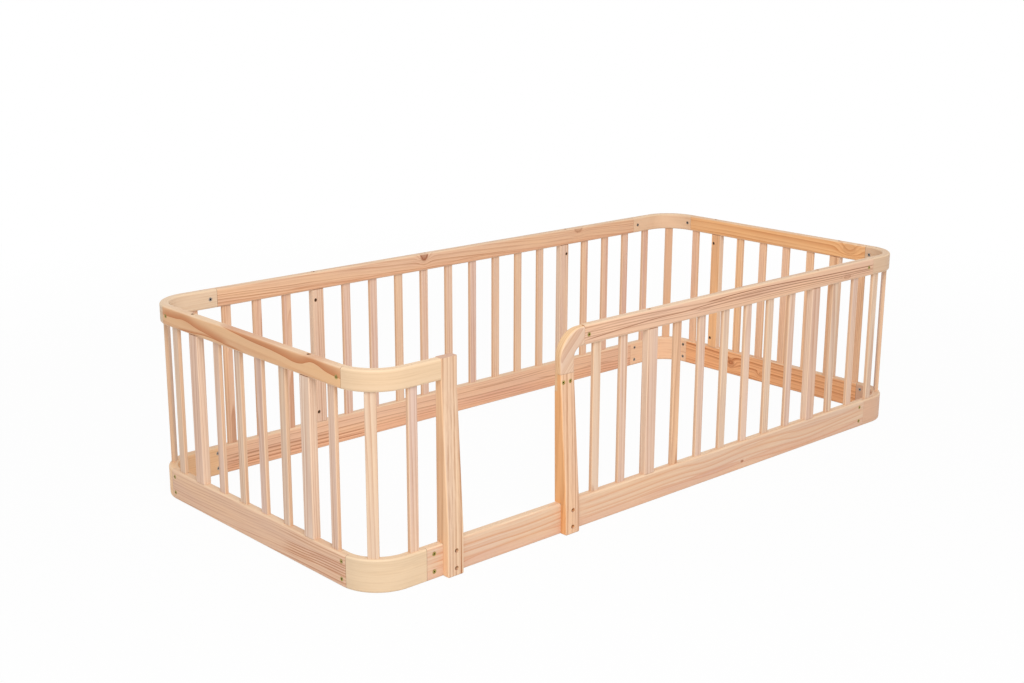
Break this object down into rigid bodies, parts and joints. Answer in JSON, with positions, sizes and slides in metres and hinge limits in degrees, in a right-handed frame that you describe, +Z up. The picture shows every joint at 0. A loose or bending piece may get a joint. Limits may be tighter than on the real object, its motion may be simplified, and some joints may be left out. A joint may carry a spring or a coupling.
{
  "type": "toddler floor bed frame",
  "caption": "Low slatted timber guard frame with bent rounded corners that stands on the floor round a mattress, open at one side of the front for a toddler to climb in and out.",
  "frame": {"origin": "on the floor, in the middle of the footprint; the two post feet stand 20 mm out past the front rail, so the rails' own middle is 10 mm behind it", "axes": "+X along the bed to the right as seen from the entry side, +Y to the closed back wall, +Z up"},
  "size_m": [2.064, 0.986, 0.529],
  "materials": {
    "rail_pine": "planed and sanded pine, clear matt",
    "post_pine": "planed and sanded pine, clear matt",
    "slat_pine": "planed and sanded pine, clear matt",
    "bent_corner_wood": "bent laminated pale timber, clear matt",
    "beech_dowels": "raw",
    "brass_bolts": "yellow passivated socket heads",
    "zinc_nuts": "zinc plated"
  },
  "bodies": {
    "root": {"barrel_nuts": "zinc_nuts", "dowels": "beech_dowels", "entry_corner_block": "post_pine", "entry_post_left": "post_pine", "entry_post_right": "post_pine", "lap_bolts": "brass_bolts", "lower_corner_back_left": "bent_corner_wood", "lower_corner_back_right": "bent_corner_wood", "lower_corner_front_left": "bent_corner_wood", "lower_corner_front_right": "bent_corner_wood", "lower_rail_back": "rail_pine", "lower_rail_bolts": "brass_bolts", "lower_rail_front": "rail_pine", "lower_rail_left": "rail_pine", "lower_rail_right": "rail_pine", "post_bolts": "brass_bolts", "slat_corner_back_left": "slat_pine", "slat_corner_back_right": "slat_pine", "slat_corner_front_left": "slat_pine", "slat_corner_front_right": "slat_pine", "slat_front_a": "slat_pine", "slat_front_b": "slat_pine", "slat_front_c": "slat_pine", "slat_front_d": "slat_pine", "slat_front_e": "slat_pine", "slat_front_f": "slat_pine", "slat_front_g": "slat_pine", "slat_front_h": "slat_pine", "slat_front_i": "slat_pine", "slat_front_j": "slat_pine", "slat_front_k": "slat_pine", "slat_front_left": "slat_pine", "slat_left_back_a": "slat_pine", "slat_left_back_b": "slat_pine", "slat_left_back_c": "slat_pine", "slat_left_front_a": "slat_pine", "slat_left_front_b": "slat_pine", "slat_left_front_c": "slat_pine", "slats_back_left_row": "slat_pine", "slats_back_middle_row": "slat_pine", "slats_back_right_row": "slat_pine", "slats_right_row": "slat_pine", "sleeve_nuts": "zinc_nuts", "upper_corner_back_left": "bent_corner_wood", "upper_corner_back_right": "bent_corner_wood", "upper_corner_front_left": "bent_corner_wood", "upper_corner_front_right": "bent_corner_wood", "upper_rail_back": "rail_pine", "upper_rail_bolts": "brass_bolts", "upper_rail_front": "rail_pine", "upper_rail_left": "rail_pine", "upper_rail_right": "rail_pine", "wide_slat_back_left": "slat_pine", "wide_slat_back_right": "slat_pine", "wide_slat_front_left": "slat_pine", "wide_slat_front_right": "slat_pine", "wide_slat_left_back": "slat_pine", "wide_slat_left_front": "slat_pine", "wide_slat_right_back": "slat_pine", "wide_slat_right_front": "slat_pine"}
  },
  "joints": []
}
